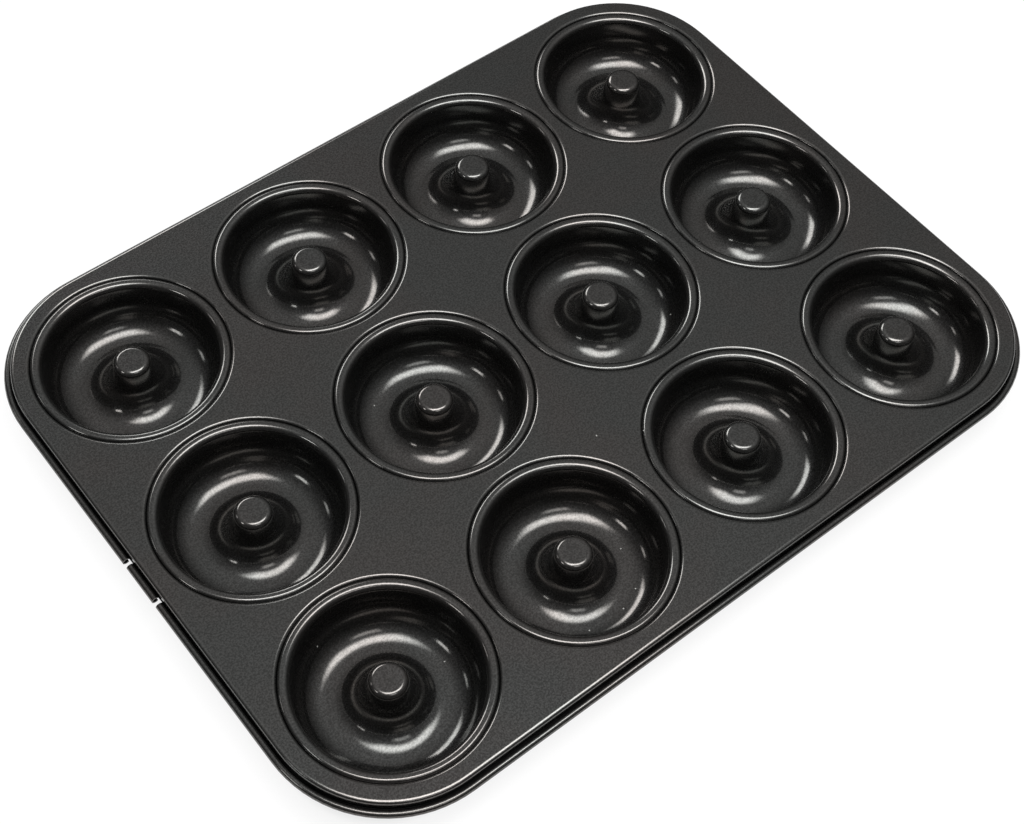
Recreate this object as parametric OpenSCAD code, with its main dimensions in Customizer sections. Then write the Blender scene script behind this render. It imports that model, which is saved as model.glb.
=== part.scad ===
// Doughnut pan pressed from one steel sheet.
// Each cup is a round trough about a hollow centre post, and a groove rings each mouth.
// The edge of the deck drops as a short skirt, rises out of a valley and curls outward into a hollow bead.
// The origin is under the middle of the pan, at the level of the flat rings it stands on.

/* [Layout] */
// Number of cups along the long side
cups_long = 4; // [2:1:6]
// Number of cups along the short side
cups_short = 3; // [2:1:5]
// Width of the flat deck between two neighbouring grooves
web_w = 3.5; // [1:0.1:30]
// Width of the flat deck between the outer grooves and the edge
margin_w = 4.5; // [1:0.05:30]
// Thickness of the steel sheet
sheet_t = 0.5; // [0.3:0.05:0.55]

/* [Cup] */
// Radius of the mouth, where the line of the wall meets the deck
mouth_r = 34.4; // [30:0.1:42]
// Depth from the deck to the inside of the bottom
cup_depth = 22; // [18:0.5:28]
// Slope of the wall, in degrees from upright
wall_slope = 1; // [1:0.5:10]
// Radius of the bend at the lip of the mouth
lip_bend = 2.4; // [0.8:0.1:3]
// Width of the flat ring at the bottom that the cup stands on
foot_w = 1.2; // [0.6:0.2:4]

/* [Centre post] */
// Radius of the post's top, where the line of its side meets the top
post_r = 7.1; // [5:0.1:9]
// Drop from the deck to the post's flat top
post_drop = 2; // [1:0.5:5]
// Slope of the post's side, in degrees from upright
post_slope = 8; // [4:1:20]
// Radius of the bend around the post's top
post_bend = 2.6; // [1:0.1:3]

/* [Mouth groove] */
// Width of the level ring between the lip and the groove
ring_w = 0.45; // [0.2:0.05:6]
// Slope of the groove's sides, in degrees from level
groove_slope = 50; // [40:5:75]
// Width of the straight part of each side
groove_side_w = 0.1; // [0.1:0.05:0.8]
// Radius of the bends at the groove's two shoulders
groove_shoulder = 1.6; // [0.6:0.05:2]
// Radius of the bend along the groove's bottom
groove_bottom = 0.3; // [0.2:0.05:0.6]

/* [Rim] */
// Radius of the bend between deck and skirt
edge_bend = 1.4; // [0.8:0.1:2]
// Height of the straight part of the skirt
skirt_h = 2.3; // [1:0.1:6]
// Radius of the valley between skirt and rim
rim_fillet = 0.3; // [0.2:0.1:1]
// Slope at which the sheet rises out of the valley, in degrees from level
rim_rise = 45; // [10:5:60]
// Outer radius of the curl
curl_r = 1.5; // [1.3:0.1:2.5]
// Turn of the curl's raw end, in degrees past level
curl_end = 45; // [10:5:60]

/* [Rim notches] */
// Distance between the two notches on one short side
notch_spacing = 19.6; // [8:0.2:60]
// Width of each notch
notch_w = 2.6; // [1:0.1:5]

/* [Hidden] */
$fn = 96;

coating = [0.20, 0.20, 0.20];

// How far a facet of a bend may lie inside the true arc.
bend_sag = 0.02;

// Level of the upper face of the deck.
deck_z = cup_depth + sheet_t;

// How far a bend reaches along each of its two straight runs.
function bend_reach(turn, radius) = radius * tan(turn / 2);

// A length rounded to a whole hundredth of a millimetre.
function hundredths(length) = round(100 * length) / 100;

// Turns of the sheet at the post and at the wall.
post_turn = 90 - post_slope;
wall_turn = 90 - wall_slope;

// The trough's radius fills the bottom between the post's side, the foot and the wall.
post_h = cup_depth - post_drop;
bottom_w = mouth_r - cup_depth * tan(wall_slope) - post_r - post_h * tan(post_slope);
trough_r = (bottom_w - foot_w) / (tan(post_turn / 2) + tan(wall_turn / 2));

// Straight runs of the cup's section.
post_flat = post_r - bend_reach(post_turn, post_bend);
post_side = post_h / cos(post_slope) - bend_reach(post_turn, post_bend + trough_r);
wall_side = cup_depth / cos(wall_slope) - bend_reach(wall_turn, trough_r + lip_bend);

// Half the groove's width, the lip's and the groove's outer radii, and the ring left between them.
// The groove's edge lies on a whole hundredth of a millimetre, so that the deck and the cups meet.
groove_bends = groove_shoulder + groove_bottom;
groove_half = groove_bends * sin(groove_slope) + groove_side_w * cos(groove_slope);
lip_r = mouth_r + bend_reach(wall_turn, lip_bend);
groove_r = hundredths(lip_r + ring_w + 2 * groove_half);
ring_flat = groove_r - 2 * groove_half - lip_r;

// Distance between the centres of neighbouring cups, and the two sides of their grid.
cup_pitch = 2 * groove_r + web_w;
grid_x = (cups_long - 1) * cup_pitch;
grid_y = (cups_short - 1) * cup_pitch;

// The deck ends, and the skirt stands, at these distances from the outer cup centres.
// They are the radii of the rounded corners too.
deck_r = groove_r + margin_w;
skirt_r = deck_r + edge_bend;

// Steps of the two sections, each as [straight length, turn, radius of the upper face].
// A positive turn bends the sheet down, and a negative one bends it up.
cup_steps = [
    [post_flat, post_turn, post_bend],
    [post_side, -post_turn, trough_r],
    [foot_w, -wall_turn, trough_r],
    [wall_side, wall_turn, lip_bend],
    [ring_flat, groove_slope, groove_shoulder],
    [groove_side_w, -groove_slope, groove_bottom],
    [0, -groove_slope, groove_bottom],
    [groove_side_w, groove_slope, groove_shoulder]
];
rim_steps = [
    [0, 90, edge_bend],
    [skirt_h, -90, rim_fillet],
    [0, -rim_rise, rim_fillet],
    [0, rim_rise, curl_r],
    [0, 90, curl_r],
    [0, 90, curl_r],
    [0, curl_end, curl_r]
];

// Number of facets in a bend, so that none lies deeper inside the true arc than the allowed sag.
function bend_facets(turn, radius) = ceil(abs(turn) / (2 * acos(1 - bend_sag / radius)));

// The direction across the sheet, from its upper face to its lower face.
function across(heading) = [sin(heading), -cos(heading)];

// Points along one face of the sheet, at the given depth below its upper face.
// The run starts at the given place and heading, and each step starts where the last one ended.
function face_points(steps, depth, place = [0, 0], heading = 0, i = 0) =
    i == len(steps) ? [place + depth * across(heading)] :
    let(
        length = steps[i][0],
        turn = steps[i][1],
        facets = bend_facets(turn, steps[i][2]),
        radius = sign(turn) * steps[i][2],
        bend_start = place + length * [cos(heading), sin(heading)],
        centre = bend_start + radius * across(heading),
        next_heading = heading - turn
    )
    concat(
        length > 0 ? [place + depth * across(heading)] : [],
        [for (k = [0 : facets - 1]) centre + (depth - radius) * across(heading - turn * k / facets)],
        face_points(steps, depth, centre - radius * across(next_heading), next_heading, i + 1)
    );

// The section of the sheet along a list of steps, with its upper face starting at the origin.
module sheet_run(steps) {
    upper = face_points(steps, 0);
    lower = face_points(steps, sheet_t);
    polygon(concat(upper, [for (k = [len(lower) - 1 : -1 : 0]) lower[k]]));
}

// Copies the children to the centre of every cup.
module at_cups() {
    for (i = [0 : cups_long - 1])
        for (j = [0 : cups_short - 1])
            translate([i * cup_pitch - grid_x / 2, j * cup_pitch - grid_y / 2])
                children();
}

// The flat part of the deck, with a hole for each cup and its groove.
module deck() {
    translate([0, 0, deck_z - sheet_t])
        linear_extrude(sheet_t)
            difference() {
                union() {
                    square([grid_x + 2 * deck_r, grid_y], center = true);
                    square([grid_x, grid_y + 2 * deck_r], center = true);
                    for (x = [-1, 1])
                        for (y = [-1, 1])
                            translate([x * grid_x / 2, y * grid_y / 2]) circle(deck_r);
                }
                at_cups() circle(groove_r);
            }
}

// One cup with its post, its trough, its lip and the groove around it.
module cup() {
    translate([0, 0, deck_z])
        rotate_extrude()
            translate([0, -post_drop])
                sheet_run(cup_steps);
}

// The section of the edge, from the flat deck outward, at its distance from the corner's centre.
module rim_section() {
    translate([deck_r, 0]) sheet_run(rim_steps);
}

// One straight side of the edge, beyond a grid side at the given distance from the middle.
module rim_side(length, distance) {
    translate([distance, 0, deck_z])
        rotate([90, 0, 0])
            linear_extrude(length, center = true)
                rim_section();
}

// The bent and curled edge all around the deck.
module rim() {
    for (side = [0, 180]) {
        rotate(side) rim_side(grid_y, grid_x / 2);
        rotate(side + 90) rim_side(grid_x, grid_y / 2);
        rotate(side)
            translate([grid_x / 2, grid_y / 2, deck_z])
                rotate_extrude(angle = 90)
                    rim_section();
        rotate(side)
            translate([-grid_x / 2, grid_y / 2, deck_z])
                rotate(90)
                    rotate_extrude(angle = 90)
                        rim_section();
    }
}

// The two notches cut through the curl at the middle of one short side.
// Each starts over the bottom of the valley and goes outward, over the pan's full height.
module rim_notches() {
    valley_x = grid_x / 2 + skirt_r + rim_fillet;
    for (y = [-1, 1])
        translate([-valley_x - deck_z, y * notch_spacing / 2 - notch_w / 2, 0])
            cube([deck_z, notch_w, deck_z]);
}

module pan() {
    color(coating)
        difference() {
            union() {
                deck();
                at_cups() cup();
                rim();
            }
            rim_notches();
        }
}

pan();
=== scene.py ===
import math

import bmesh
import bpy
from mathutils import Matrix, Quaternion, Vector


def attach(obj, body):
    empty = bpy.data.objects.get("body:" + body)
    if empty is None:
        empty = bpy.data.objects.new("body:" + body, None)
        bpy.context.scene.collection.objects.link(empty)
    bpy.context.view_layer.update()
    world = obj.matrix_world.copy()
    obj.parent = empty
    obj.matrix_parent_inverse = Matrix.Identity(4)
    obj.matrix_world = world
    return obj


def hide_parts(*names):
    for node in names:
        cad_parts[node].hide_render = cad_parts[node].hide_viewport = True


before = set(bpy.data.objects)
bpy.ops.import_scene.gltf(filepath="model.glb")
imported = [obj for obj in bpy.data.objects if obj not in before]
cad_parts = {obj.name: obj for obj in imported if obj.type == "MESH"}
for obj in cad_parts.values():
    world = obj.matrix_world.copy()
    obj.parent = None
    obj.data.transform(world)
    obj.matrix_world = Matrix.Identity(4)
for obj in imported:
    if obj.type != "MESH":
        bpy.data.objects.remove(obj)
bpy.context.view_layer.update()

MM = 0.001

# Sizes of the pan in millimetres and degrees, the same as those of the solid model.
CUPS_LONG = 4
CUPS_SHORT = 3
SHEET_T = 0.5
WEB_W = 3.5
MARGIN_W = 4.5
MOUTH_R = 34.4
CUP_DEPTH = 22
WALL_SLOPE = 1
LIP_BEND = 2.4
FOOT_W = 1.2
POST_R = 7.1
POST_DROP = 2
POST_SLOPE = 8
POST_BEND = 2.6
RING_W = 0.45
GROOVE_SLOPE = 50
GROOVE_SIDE_W = 0.1
GROOVE_SHOULDER = 1.6
GROOVE_BOTTOM = 0.3
EDGE_BEND = 1.4
SKIRT_H = 2.3
RIM_FILLET = 0.3
RIM_RISE = 45
CURL_R = 1.5
CURL_END = 45
NOTCH_SPACING = 19.6
NOTCH_W = 2.6

# The bend between deck and skirt has a gentle start and a tighter end, instead of the one radius
# of the solid model: the turn and radius of the start, and the radius of the rest.
EASE_TURN = 20
EASE_BEND = 2.8
TIGHT_BEND = 1.1

# The coating: its two tones and the width of their patches, then the size and depth of its grain.
# The noise ranges are those over which patches and grain go from one extreme to the other.
WARM_TONE = (0.0635, 0.0592, 0.0560, 1)
COOL_TONE = (0.0585, 0.0590, 0.0565, 1)
PATCH_W = 40
PATCH_NOISE = (0.4, 0.6)
GRAIN_W = 0.7
GRAIN_NOISE = (0.36, 0.64)
GRAIN_DEPTH = 0.002

# How far the grain and the painted highlight on bends change the tone, the share of flakes, and
# the gloss.
GRAIN_SHARE = 0.16
BEND_HIGHLIGHT_SHARE = 0.75
FLAKE_SHARE = 0.92
GLOSS_ROUGHNESS = 0.1

# The rough bloom over the coating: its share, and how far the grain changes that share.
BLOOM_SHARE = 0.3
BLOOM_CHANGE = 0.5
BLOOM_ROUGHNESS = 0.4
BLOOM_IOR = 1.5

# Specks of pale dust in the cups and on the deck, and a chip on one lip, in millimetres.
# Each is full inside the given share of its radius, and fades out from there.
DUST = (
    (-135.1, -53.2, 6.0),
    (-100.6, -83.6, 1.0),
    (-25.6, -102.7, 0.9),
    (-34.5, -106.2, 0.6),
    (-50.4, -105.5, 0.6),
    (-55.5, 21.1, 1.0),
    (-18.9, -86.4, 0.6),
    (-4.2, -51.6, 22.5),
    (67.4, -16.8, 4.0),
    (11.9, -60.4, 22.1),
)
DUST_R = 0.38
DUST_CORE = 0.5
DUST_TONE = (0.42, 0.42, 0.4, 1)

# A faint scratch along the deck's front, in millimetres and degrees. It fades the same way.
SCRATCH_MIDDLE = (-103.0, -125.3)
SCRATCH_TURN = -8
SCRATCH_SIZE = (11, 0.45)
SCRATCH_CORE = 0.3
SCRATCH_SHARE = 0.5

# The floor: its grey, and the glow that whitens it where it is seen.
FLOOR_GREY = 0.15
FLOOR_GLOW = 0.88

# The floor under the pan has no glow, a painted shadow over the real one: half the length and
# width of that part, its corner radius and the width of its fade.
SHADE_HALF = (171.6, 127)
SHADE_R = 40
SHADE_SOFT = 25

# How finely the mesh follows the round shapes, for each face of the sheet.
CUP_SECTORS = {0: 96, SHEET_T: 48}
CORNER_SECTORS = 20

# Bends that stand out get a painted highlight when their radius is below the first value.
# Creases get a painted shade, near black, when theirs is below the second.
HIGHLIGHT_BEND = 3
TIGHT_CREASE = 0.5

# The studio's dome, in metres. Its dim walls brighten toward a paler ceiling, along a direction
# and between two shares of the radius, slowly at first.
DOME_R = 6
DOME_FACETS = (48, 24)
WALL_LEVEL = 0.06
CEILING_LEVEL = 0.6
BRIGHT_SIDE = (0.22, 0.1, 0.97)
BRIGHT_RANGE = (0.3, 0.95)
BRIGHT_CURVE = 2

# The softboxes hang level, this many metres above the deck. Each has a name, its place across the
# ceiling, its size, the width of its soft edge, its turn and its radiance. Places, sizes and edges
# are shares of the height.
LAMP_HEIGHT = 1.416
LAMPS = (
    ("softbox_main", (0.03, -0.145), (0.75, 0.34), 0.25, -9.5, 7.5),
    ("softbox_far", (0.17, 1.535), (0.89, 0.73), 0.35, 2, 6.8),
    ("softbox_low", (-0.155, -0.685), (0.40, 0.22), 0.15, -15, 2.2),
    ("softbox_left", (-1.26, 0.165), (0.32, 0.31), 0.1, 0, 5.4),
    ("softbox_far_left", (-1.35, 1.33), (0.47, 0.34), 0.12, -45, 2.6),
)

# A softbox's power for each square metre and each unit of radiance.
LAMP_POWER = 4

# The camera: its frame, focal length and optical middle in pixels, its sensor's width, its place
# and the point that it looks at over the deck's middle in millimetres, and its roll in degrees.
IMAGE_SIZE = (1024, 824)
FOCAL_PX = 1726.8
MIDDLE_PX = (452.8, 410.4)
SENSOR_W = 36
CAMERA_PLACE = (-272.6, -287.3, 551.0)
CAMERA_AIM = (-41.0, -10.1, 0)
CAMERA_ROLL = -2.754


def reach(turn, radius):
    """How far a bend reaches along each of its two straight runs."""
    return radius * math.tan(math.radians(turn) / 2)


post_turn = 90 - POST_SLOPE
wall_turn = 90 - WALL_SLOPE
post_h = CUP_DEPTH - POST_DROP
bottom_w = (
    MOUTH_R - CUP_DEPTH * math.tan(math.radians(WALL_SLOPE))
    - POST_R - post_h * math.tan(math.radians(POST_SLOPE))
)
trough_r = (bottom_w - FOOT_W) / (reach(post_turn, 1) + reach(wall_turn, 1))
post_flat = POST_R - reach(post_turn, POST_BEND)
post_side = (
    post_h / math.cos(math.radians(POST_SLOPE))
    - reach(post_turn, POST_BEND + trough_r)
)
wall_side = (
    CUP_DEPTH / math.cos(math.radians(WALL_SLOPE))
    - reach(wall_turn, trough_r + LIP_BEND)
)
groove_half = (
    (GROOVE_SHOULDER + GROOVE_BOTTOM) * math.sin(math.radians(GROOVE_SLOPE))
    + GROOVE_SIDE_W * math.cos(math.radians(GROOVE_SLOPE))
)
lip_r = MOUTH_R + reach(wall_turn, LIP_BEND)
groove_r = round(lip_r + RING_W + 2 * groove_half, 2)
ring_flat = groove_r - 2 * groove_half - lip_r
cup_pitch = 2 * groove_r + WEB_W
grid_x = (CUPS_LONG - 1) * cup_pitch
grid_y = (CUPS_SHORT - 1) * cup_pitch
deck_z = CUP_DEPTH + SHEET_T

# Width and drop of the edge's bend. The flat deck ends where this bend begins.
ease = math.radians(EASE_TURN)
edge_w = EASE_BEND * math.sin(ease) + TIGHT_BEND * (1 - math.sin(ease))
edge_h = EASE_BEND * (1 - math.cos(ease)) + TIGHT_BEND * math.cos(ease)
deck_r = groove_r + MARGIN_W - (edge_w - EDGE_BEND)

# Steps of the sections of a cup and of the edge. Each has a straight length, a turn that bends the
# sheet down where it is positive, a radius of the upper face, and facets above and below.
CUP_STEPS = (
    (post_flat, post_turn, POST_BEND, 8, 5),
    (post_side, -post_turn, trough_r, 9, 7),
    (FOOT_W, -wall_turn, trough_r, 10, 7),
    (wall_side, wall_turn, LIP_BEND, 8, 5),
    (ring_flat, GROOVE_SLOPE, GROOVE_SHOULDER, 4, 2),
    (GROOVE_SIDE_W, -GROOVE_SLOPE, GROOVE_BOTTOM, 2, 3),
    (0, -GROOVE_SLOPE, GROOVE_BOTTOM, 2, 3),
    (GROOVE_SIDE_W, GROOVE_SLOPE, GROOVE_SHOULDER, 4, 2),
)
SKIRT_STEPS = (
    (0, EASE_TURN, EASE_BEND, 3, 2),
    (0, 90 - EASE_TURN, TIGHT_BEND, 7, 4),
    (SKIRT_H + EDGE_BEND - edge_h, -90, RIM_FILLET, 4, 6),
)
CURL_STEPS = (
    (0, -RIM_RISE, RIM_FILLET, 2, 3),
    (0, RIM_RISE, CURL_R, 5, 4),
    (0, 90, CURL_R, 10, 6),
    (0, 90, CURL_R, 8, 6),
    (0, CURL_END, CURL_R, 4, 3),
)


def turn_steps(steps, depth, place=(0.0, 0.0)):
    """Points along one face of the sheet, at the given depth below its upper face.

    Each has its place in the section, the upper face's normal, and its shares of painted highlight
    and painted shade.
    """
    heading = 0.0
    x, z = place
    line = []

    def put(x, z, heading, bend_highlight=0.0, crease_shade=0.0):
        ax, az = math.sin(heading), -math.cos(heading)
        line.append((x + depth * ax, z + depth * az, -ax, -az, bend_highlight, crease_shade))

    put(x, z, heading)
    for length, turn, radius, upper_facets, lower_facets in steps:
        if length > 0:
            x += length * math.cos(heading)
            z += length * math.sin(heading)
            put(x, z, heading)
        facets = upper_facets if depth == 0 else lower_facets
        signed = math.copysign(radius, turn)
        centre_x = x + signed * math.sin(heading)
        centre_z = z - signed * math.cos(heading)
        for k in range(1, facets + 1):
            h = heading - math.radians(turn) * k / facets
            x = centre_x - signed * math.sin(h)
            z = centre_z + signed * math.cos(h)
            middle = math.sin(math.pi * k / facets)
            # A painted highlight over tight convex bends, and a painted shade in tight creases.
            bend_highlight = middle if 0 < signed < HIGHLIGHT_BEND else 0.0
            crease_shade = 1.0 if -TIGHT_CREASE < signed < 0 else 0.0
            put(x, z, h, bend_highlight, crease_shade)
        heading -= math.radians(turn)
    return line


class SheetMesh:
    """Collects the faces of the pan with a chosen normal at each of their corners."""

    def __init__(self):
        self.points = []
        self.bend_highlight = []
        self.crease_shade = []
        self.faces = []
        self.normals = []

    def point(self, x, y, z, bend_highlight=0.0, crease_shade=0.0):
        self.points.append((x * MM, y * MM, z * MM))
        self.bend_highlight.append(bend_highlight)
        self.crease_shade.append(crease_shade)
        return len(self.points) - 1

    def face(self, corners, normals):
        self.faces.append(tuple(corners))
        self.normals.extend(normals)

    def quad(self, a, b, c, d):
        """A face between four (point, normal) pairs, with pairs on the same point left out."""
        pairs = []
        for pair in (a, b, c, d):
            if pair[0] not in [p[0] for p in pairs]:
                pairs.append(pair)
        self.face([p[0] for p in pairs], [p[1] for p in pairs])

    def flat(self, corners, normal):
        self.face(corners, [normal] * len(corners))

    def build(self, name):
        mesh = bpy.data.meshes.new(name)
        mesh.from_pydata(self.points, [], self.faces)
        # The shares of painted highlight and painted shade, kept as mesh attributes.
        for attribute, values in (("bend_highlight", self.bend_highlight), ("crease_shade", self.crease_shade)):
            mesh.attributes.new(attribute, "FLOAT", "POINT").data.foreach_set("value", values)
        mesh.polygons.foreach_set("use_smooth", [True] * len(mesh.polygons))
        mesh.normals_split_custom_set(self.normals)
        mesh.validate(clean_customdata=False)
        piece = bpy.data.objects.new(name, mesh)
        bpy.context.scene.collection.objects.link(piece)
        return piece


def strip(sheet, lines, upper, closed):
    """Faces between neighbouring lines of (point, normal) pairs, wound to face outward."""
    count = len(lines) if closed else len(lines) - 1
    for k in range(count):
        near, far = lines[k], lines[(k + 1) % len(lines)]
        for i in range(len(near) - 1):
            corners = [near[i], near[i + 1], far[i + 1], far[i]]
            if not upper:
                corners.reverse()
            sheet.quad(*corners)


def add_cup(sheet, centre_x, centre_y):
    """One cup from its axis to the outer edge of its groove. Returns the two edge loops."""
    edges = []
    for depth in (0, SHEET_T):
        section = turn_steps(CUP_STEPS, depth, (0.0, -POST_DROP))
        side = 1 if depth == 0 else -1
        axis = (sheet.point(centre_x, centre_y, deck_z + section[0][1]), (0, 0, side))
        lines = []
        for k in range(CUP_SECTORS[depth]):
            angle = 2 * math.pi * k / CUP_SECTORS[depth]
            c, s = math.cos(angle), math.sin(angle)
            line = [axis]
            for r, z, nr, nz, bend_highlight, crease_shade in section[1:]:
                point = sheet.point(centre_x + r * c, centre_y + r * s, deck_z + z, bend_highlight, crease_shade)
                line.append((point, (side * nr * c, side * nr * s, side * nz)))
            lines.append(line)
        strip(sheet, lines, depth == 0, True)
        edges.append([line[-1][0] for line in lines])
    return edges


def rim_path():
    """Stations around the edge: where each is measured from, its outward angle and a notch flag.

    The flag is true where a notch runs from this station to the next.
    """
    stations = []
    for quarter in range(4):
        start = math.pi / 2 * quarter
        corner_x = grid_x / 2 * (1 if quarter in (0, 3) else -1)
        corner_y = grid_y / 2 * (1 if quarter in (0, 1) else -1)
        for k in range(CORNER_SECTORS + 1):
            angle = start + math.pi / 2 * k / CORNER_SECTORS
            stations.append((corner_x, corner_y, angle, False))
        if quarter == 1:
            for y in (1, -1):
                middle = y * NOTCH_SPACING / 2
                stations.append((-grid_x / 2, middle + NOTCH_W / 2, math.pi, True))
                stations.append((-grid_x / 2, middle - NOTCH_W / 2, math.pi, False))
    return stations


def add_rim(sheet):
    """The skirt and the curl around the deck, open at the notches. Returns the two edge loops."""
    stations = rim_path()
    skirt_end = {}
    faces = {}
    for depth in (0, SHEET_T):
        section = turn_steps(SKIRT_STEPS + CURL_STEPS, depth)
        skirt_end[depth] = len(turn_steps(SKIRT_STEPS, depth)) - 1
        side = 1 if depth == 0 else -1
        lines = []
        for corner_x, corner_y, angle, _ in stations:
            c, s = math.cos(angle), math.sin(angle)
            line = []
            for x, z, nr, nz, bend_highlight, crease_shade in section:
                r = deck_r + x
                point = sheet.point(corner_x + r * c, corner_y + r * s, deck_z + z, bend_highlight, crease_shade)
                line.append((point, (side * nr * c, side * nr * s, side * nz)))
            lines.append(line)
        faces[depth] = lines
    for k, (_, _, angle, notch) in enumerate(stations):
        after = (k + 1) % len(stations)
        for depth in (0, SHEET_T):
            last = skirt_end[depth] + 1 if notch else None
            strip(sheet, [faces[depth][k][:last], faces[depth][after][:last]], depth == 0, False)
        if notch:
            add_notch_walls(sheet, faces, skirt_end, k, after, angle)
        else:
            upper, lower = faces[0], faces[SHEET_T]
            raw_end = [upper[k][-1], lower[k][-1], lower[after][-1], upper[after][-1]]
            sheet.flat([pair[0] for pair in raw_end], (0, 0, 1))
    return [[line[0][0] for line in faces[depth]] for depth in (0, SHEET_T)]


def add_notch_walls(sheet, faces, skirt_end, before, after, angle):
    """The cut faces of a notch: its inner wall and the ends of the curl on both sides of it."""
    upper, lower = faces[0], faces[SHEET_T]
    a, b = skirt_end[0], skirt_end[SHEET_T]
    outward = (math.cos(angle), math.sin(angle), 0)
    inner = [upper[before][a][0], lower[before][b][0], lower[after][b][0], upper[after][a][0]]
    sheet.flat(inner, outward)
    for station, along in ((before, 1), (after, -1)):
        normal = (along * -outward[1], along * outward[0], 0)
        steps_up = [pair[0] for pair in upper[station][a:]]
        steps_down = [pair[0] for pair in lower[station][b:]]
        add_end(sheet, steps_up, steps_down, normal, along)


def add_end(sheet, steps_up, steps_down, normal, along):
    """A flat end of the sheet between two lines of points, as a row of triangles."""
    i, j = 0, 0
    while i < len(steps_up) - 1 or j < len(steps_down) - 1:
        share_up = (i + 1) / (len(steps_up) - 1)
        share_down = (j + 1) / (len(steps_down) - 1)
        if j == len(steps_down) - 1 or (i < len(steps_up) - 1 and share_up <= share_down):
            corners = [steps_up[i], steps_up[i + 1], steps_down[j]]
            i += 1
        else:
            corners = [steps_up[i], steps_down[j + 1], steps_down[j]]
            j += 1
        if along < 0:
            corners.reverse()
        sheet.flat(corners, normal)


def add_deck(sheet, outer, holes, normal):
    """The flat deck between its outer edge and the cups' holes."""
    work = bmesh.new()
    made = {}
    edges = []
    for loop in [outer, *holes]:
        for index in loop:
            made[index] = work.verts.new(sheet.points[index])
        for k, index in enumerate(loop):
            edges.append(work.edges.new((made[index], made[loop[(k + 1) % len(loop)]])))
    index_of = {vert: index for index, vert in made.items()}
    filled = bmesh.ops.triangle_fill(work, edges=edges, use_beauty=True, use_dissolve=False)
    for item in filled["geom"]:
        if isinstance(item, bmesh.types.BMFace):
            corners = [index_of[v] for v in item.verts]
            if item.normal.z * normal[2] < 0 or item.normal.length == 0:
                corners.reverse()
            sheet.flat(corners, normal)
    work.free()


def make_pan():
    """The whole pan as one closed mesh."""
    sheet = SheetMesh()
    upper_holes, lower_holes = [], []
    for i in range(CUPS_LONG):
        for j in range(CUPS_SHORT):
            centre_x = i * cup_pitch - grid_x / 2
            centre_y = j * cup_pitch - grid_y / 2
            upper, lower = add_cup(sheet, centre_x, centre_y)
            upper_holes.append(upper)
            lower_holes.append(lower)
    upper, lower = add_rim(sheet)
    add_deck(sheet, upper, upper_holes, (0, 0, 1))
    add_deck(sheet, lower, lower_holes, (0, 0, -1))
    return sheet.build("pan_sheet")


def new_material(name):
    """An empty material, with its nodes and links."""
    material = bpy.data.materials.new(name)
    material.use_nodes = True
    nodes = material.node_tree.nodes
    nodes.clear()
    return material, nodes, material.node_tree.links


def mapped(nodes, links, value, low, high, new_low, new_high):
    """The value mapped from one range to another, and held inside it."""
    node = nodes.new("ShaderNodeMapRange")
    node.inputs["From Min"].default_value = low
    node.inputs["From Max"].default_value = high
    node.inputs["To Min"].default_value = new_low
    node.inputs["To Max"].default_value = new_high
    links.new(value, node.inputs["Value"])
    return node.outputs["Result"]


def math_node(nodes, links, operation, first, second):
    """The result of one operation on two values, each a socket or a number."""
    node = nodes.new("ShaderNodeMath")
    node.operation = operation
    for socket, value in zip(node.inputs, (first, second)):
        if isinstance(value, (int, float)):
            socket.default_value = value
        else:
            links.new(value, socket)
    return node.outputs[0]


def mix_colours(nodes, links, share, first, second):
    """A blend of two colours, each a socket or a colour, by a share from 0 to 1."""
    node = nodes.new("ShaderNodeMix")
    node.data_type = "RGBA"
    for name, value in (("A", first), ("B", second)):
        if isinstance(value, tuple):
            node.inputs[name].default_value = value
        else:
            links.new(value, node.inputs[name])
    links.new(share, node.inputs["Factor"])
    return node.outputs["Result"]


def noise(nodes, links, place, grain_mm, detail=2.0):
    """A noise whose spots are about as wide as the given length in millimetres."""
    node = nodes.new("ShaderNodeTexNoise")
    node.inputs["Scale"].default_value = 1 / (grain_mm * MM)
    node.inputs["Detail"].default_value = detail
    links.new(place, node.inputs["Vector"])
    return node.outputs["Fac"]


def specks(nodes, links, place):
    """1 in the middle of each speck of dust and 0 outside the specks."""
    most = 0.0
    for speck in DUST:
        gap = nodes.new("ShaderNodeVectorMath")
        gap.operation = "DISTANCE"
        gap.inputs[1].default_value = [c * MM for c in speck]
        links.new(place, gap.inputs[0])
        core = DUST_CORE * DUST_R * MM
        inside = mapped(nodes, links, gap.outputs["Value"], core, DUST_R * MM, 1, 0)
        most = math_node(nodes, links, "MAXIMUM", inside, most)
    return most


def scratch(nodes, links, place):
    """A thin pale ellipse on the deck, brightest along its middle."""
    x, y = SCRATCH_MIDDLE
    length, width = SCRATCH_SIZE
    ellipse = nodes.new("ShaderNodeMapping")
    ellipse.vector_type = "TEXTURE"
    ellipse.inputs["Location"].default_value = (x * MM, y * MM, deck_z * MM)
    ellipse.inputs["Rotation"].default_value = (0, 0, math.radians(SCRATCH_TURN))
    ellipse.inputs["Scale"].default_value = (length / 2 * MM, width / 2 * MM, MM)
    links.new(place, ellipse.inputs["Vector"])
    away = nodes.new("ShaderNodeVectorMath")
    away.operation = "LENGTH"
    links.new(ellipse.outputs[0], away.inputs[0])
    return mapped(nodes, links, away.outputs["Value"], SCRATCH_CORE, 1, SCRATCH_SHARE, 0)


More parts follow.
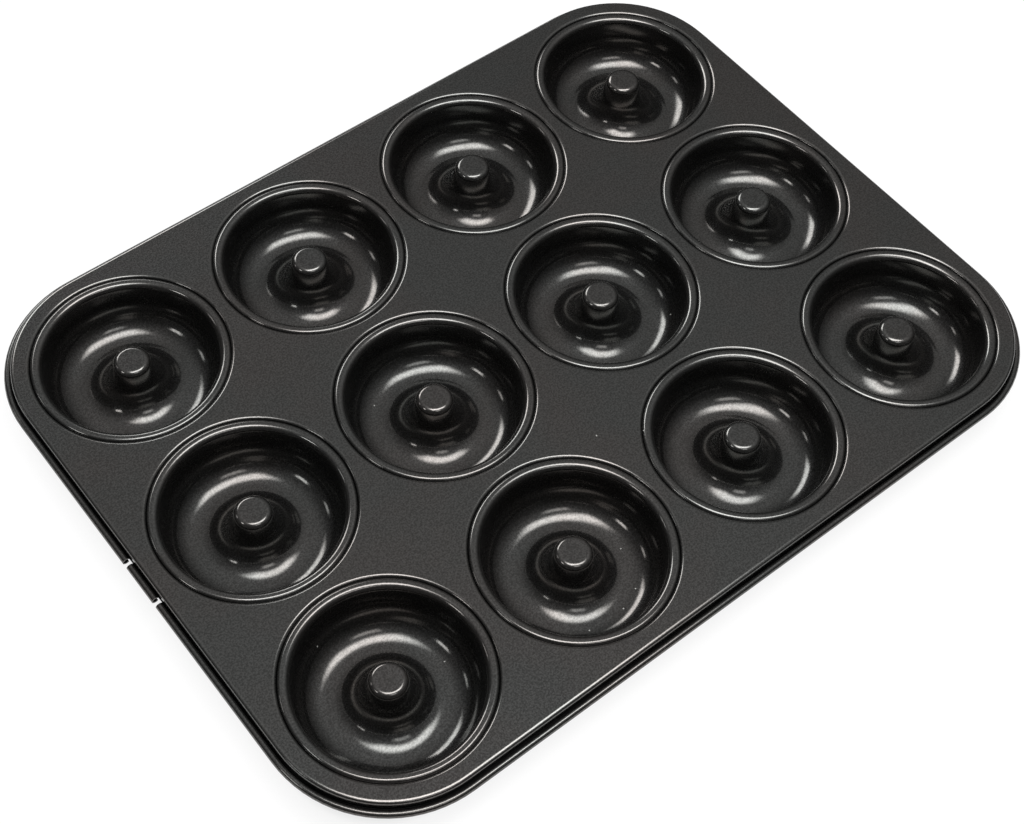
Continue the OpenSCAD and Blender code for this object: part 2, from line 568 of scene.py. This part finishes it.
def make_coating():
    """The dark non-stick coating: a glossy layer with metal flakes under a faint rough bloom.

    Tight bends are brighter, a painted highlight, and tight creases are painted dark, a painted
    shade.
    """
    material, nodes, links = new_material("coating")
    out = nodes.new("ShaderNodeOutputMaterial")
    shader = nodes.new("ShaderNodeBsdfPrincipled")
    links.new(shader.outputs[0], out.inputs[0])
    place = nodes.new("ShaderNodeTexCoord").outputs["Object"]
    # The painted highlight on bends and the painted shade in creases, read from the mesh.
    bend_highlight_attribute = nodes.new("ShaderNodeAttribute")
    bend_highlight_attribute.attribute_name = "bend_highlight"
    crease_shade_attribute = nodes.new("ShaderNodeAttribute")
    crease_shade_attribute.attribute_name = "crease_shade"

    # The tint turns warmer and cooler in wide patches. The grain, the painted highlight on tight
    # bends and the painted shade in tight creases scale it.
    patches = mapped(nodes, links, noise(nodes, links, place, PATCH_W), *PATCH_NOISE, 0, 1)
    tone = mix_colours(nodes, links, patches, WARM_TONE, COOL_TONE)
    grain = mapped(nodes, links, noise(nodes, links, place, GRAIN_W, detail=1), *GRAIN_NOISE, 0, 1)
    level = mapped(nodes, links, grain, 0, 1, 1 - GRAIN_SHARE, 1 + GRAIN_SHARE)
    # Tight bends are lightened: a painted highlight.
    painted_highlight = math_node(nodes, links, "MULTIPLY", bend_highlight_attribute.outputs["Fac"], BEND_HIGHLIGHT_SHARE)
    level = math_node(nodes, links, "ADD", level, painted_highlight)
    level = math_node(nodes, links, "ADD", level, scratch(nodes, links, place))
    # Tight creases are darkened to black and lose their bloom: a painted shade.
    unshaded = math_node(nodes, links, "SUBTRACT", 1, crease_shade_attribute.outputs["Fac"])
    level = math_node(nodes, links, "MULTIPLY", level, unshaded)
    colour = nodes.new("ShaderNodeVectorMath")
    colour.operation = "SCALE"
    links.new(tone, colour.inputs[0])
    links.new(level, colour.inputs["Scale"])
    dust = specks(nodes, links, place)
    dusty = mix_colours(nodes, links, dust, colour.outputs[0], DUST_TONE)
    links.new(dusty, shader.inputs["Base Color"])
    links.new(mapped(nodes, links, dust, 0, 1, FLAKE_SHARE, 0), shader.inputs["Metallic"])

    least = (1 - BLOOM_CHANGE) * BLOOM_SHARE
    most = (1 + BLOOM_CHANGE) * BLOOM_SHARE
    bloom = mapped(nodes, links, grain, 0, 1, least, most)
    links.new(math_node(nodes, links, "MULTIPLY", bloom, unshaded), shader.inputs["Coat Weight"])

    bump = nodes.new("ShaderNodeBump")
    bump.inputs["Strength"].default_value = 1
    bump.inputs["Distance"].default_value = GRAIN_DEPTH * MM
    links.new(grain, bump.inputs["Height"])
    links.new(bump.outputs[0], shader.inputs["Normal"])

    shader.inputs["Roughness"].default_value = GLOSS_ROUGHNESS
    shader.inputs["Coat Roughness"].default_value = BLOOM_ROUGHNESS
    shader.inputs["Coat IOR"].default_value = BLOOM_IOR
    return material


def make_floor():
    """A grey floor that glows only where it is seen, so that it looks white outside the shadow."""
    material, nodes, links = new_material("floor_white")
    out = nodes.new("ShaderNodeOutputMaterial")
    add = nodes.new("ShaderNodeAddShader")
    diffuse = nodes.new("ShaderNodeBsdfDiffuse")
    diffuse.inputs["Color"].default_value = (FLOOR_GREY, FLOOR_GREY, FLOOR_GREY, 1)
    glow = nodes.new("ShaderNodeEmission")
    glow.inputs["Color"].default_value = (1, 1, 1, 1)
    seen = seen_rays(nodes, links, FLOOR_GLOW)
    strength = math_node(nodes, links, "MULTIPLY", seen, beside_pan(nodes, links))
    links.new(strength, glow.inputs["Strength"])
    links.new(diffuse.outputs[0], add.inputs[0])
    links.new(glow.outputs[0], add.inputs[1])
    links.new(add.outputs[0], out.inputs[0])
    bpy.ops.mesh.primitive_plane_add(size=2 * DOME_R, location=(0, 0, 0))
    floor = bpy.context.object
    floor.name = "floor"
    floor.data.materials.append(material)


def beside_pan(nodes, links):
    """0 on the floor well under the pan and 1 beside it: the glow fades out under the pan, a
    painted shadow.
    """
    corner = Vector((SHADE_HALF[0] - SHADE_R, SHADE_HALF[1] - SHADE_R, 0)) * MM
    value = nodes.new("ShaderNodeTexCoord").outputs["Object"]
    steps = (("ABSOLUTE", None), ("SUBTRACT", corner), ("MAXIMUM", (0, 0, 0)), ("LENGTH", None))
    for operation, other in steps:
        node = nodes.new("ShaderNodeVectorMath")
        node.operation = operation
        links.new(value, node.inputs[0])
        if other is not None:
            node.inputs[1].default_value = other
        value = node.outputs["Value"] if operation == "LENGTH" else node.outputs["Vector"]
    return mapped(nodes, links, value, (SHADE_R - SHADE_SOFT) * MM, SHADE_R * MM, 0, 1)


def seen_rays(nodes, links, strength):
    """A strength for camera, glossy and transmission rays, and none for the rest."""
    path = nodes.new("ShaderNodeLightPath")
    most = path.outputs["Is Camera Ray"]
    for other in ("Is Glossy Ray", "Is Transmission Ray"):
        most = math_node(nodes, links, "MAXIMUM", most, path.outputs[other])
    return math_node(nodes, links, "MULTIPLY", most, strength)


def make_world():
    """A plain white world, which only the camera sees past the dome."""
    world = bpy.data.worlds.new("studio")
    bpy.context.scene.world = world
    world.use_nodes = True
    background = world.node_tree.nodes["Background"]
    background.inputs["Color"].default_value = (1, 1, 1, 1)


def make_dome():
    """The studio around the pan, out of the camera's sight, with dim walls and a paler ceiling."""
    material, nodes, links = new_material("dome_grey")
    out = nodes.new("ShaderNodeOutputMaterial")
    glow = nodes.new("ShaderNodeEmission")
    toward = nodes.new("ShaderNodeVectorMath")
    toward.operation = "DOT_PRODUCT"
    toward.inputs[1].default_value = BRIGHT_SIDE
    links.new(nodes.new("ShaderNodeTexCoord").outputs["Object"], toward.inputs[0])
    low, high = (share * DOME_R for share in BRIGHT_RANGE)
    height = mapped(nodes, links, toward.outputs["Value"], low, high, 0, 1)
    curve = math_node(nodes, links, "POWER", height, BRIGHT_CURVE)
    level = mapped(nodes, links, curve, 0, 1, WALL_LEVEL, CEILING_LEVEL)
    links.new(level, glow.inputs["Strength"])
    links.new(glow.outputs[0], out.inputs[0])
    segments, rings = DOME_FACETS
    bpy.ops.mesh.primitive_uv_sphere_add(
        segments=segments, ring_count=rings, radius=DOME_R, location=(0, 0, 0)
    )
    dome = bpy.context.object
    dome.name = "studio_dome"
    dome.data.materials.append(material)
    dome.visible_camera = False


def add_lamp(name, across, size, soft, turn, radiance):
    """A level softbox with soft edges. Its place, size and edge are shares of its height."""
    lamp = bpy.data.lights.new(name, "AREA")
    lamp.shape = "RECTANGLE"
    lamp.size = (size[0] + soft) * LAMP_HEIGHT
    lamp.size_y = (size[1] + soft) * LAMP_HEIGHT
    lamp.energy = LAMP_POWER * lamp.size * lamp.size_y * radiance
    lamp.use_nodes = True
    nodes, links = lamp.node_tree.nodes, lamp.node_tree.links
    split = nodes.new("ShaderNodeSeparateXYZ")
    links.new(nodes.new("ShaderNodeNewGeometry").outputs["Parametric"], split.inputs[0])
    level = 1.0
    for axis, width in zip(("X", "Y"), size):
        aside = math_node(nodes, links, "SUBTRACT", split.outputs[axis], 0.5)
        aside = math_node(nodes, links, "ABSOLUTE", aside, 0)
        edge = nodes.new("ShaderNodeMapRange")
        edge.interpolation_type = "SMOOTHSTEP"
        edge.inputs["From Min"].default_value = 0.5
        edge.inputs["From Max"].default_value = 0.5 - soft / (width + soft)
        links.new(aside, edge.inputs["Value"])
        level = math_node(nodes, links, "MULTIPLY", edge.outputs["Result"], level)
    links.new(level, nodes["Emission"].inputs["Strength"])
    piece = bpy.data.objects.new(name, lamp)
    x, y = across
    piece.location = (x * LAMP_HEIGHT, y * LAMP_HEIGHT, LAMP_HEIGHT + deck_z * MM)
    piece.rotation_euler = (0, 0, math.radians(turn))
    bpy.context.scene.collection.objects.link(piece)


def make_camera():
    """The camera at the photo's place and angle, with the photo's framing."""
    image_w, image_h = IMAGE_SIZE
    middle_x, middle_y = MIDDLE_PX
    deck = Vector((0, 0, deck_z))
    place = (Vector(CAMERA_PLACE) + deck) * MM
    aim = (Vector(CAMERA_AIM) + deck) * MM
    data = bpy.data.cameras.new("camera")
    data.sensor_width = SENSOR_W
    data.lens = FOCAL_PX * data.sensor_width / image_w
    data.shift_x = (image_w / 2 - middle_x) / image_w
    data.shift_y = (middle_y - image_h / 2) / image_w
    camera = bpy.data.objects.new("camera", data)
    ahead = (aim - place).normalized()
    roll = Quaternion(ahead, math.radians(CAMERA_ROLL))
    camera.rotation_mode = "QUATERNION"
    camera.rotation_quaternion = roll @ ahead.to_track_quat("-Z", "Y")
    camera.location = place
    bpy.context.scene.collection.objects.link(camera)
    bpy.context.scene.camera = camera


bpy.context.scene.view_settings.view_transform = "Standard"
pan = make_pan()
pan.data.materials.append(make_coating())
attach(pan, "root")
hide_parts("pan")
make_floor()
make_dome()
make_world()
for lamp in LAMPS:
    add_lamp(*lamp)
make_camera()
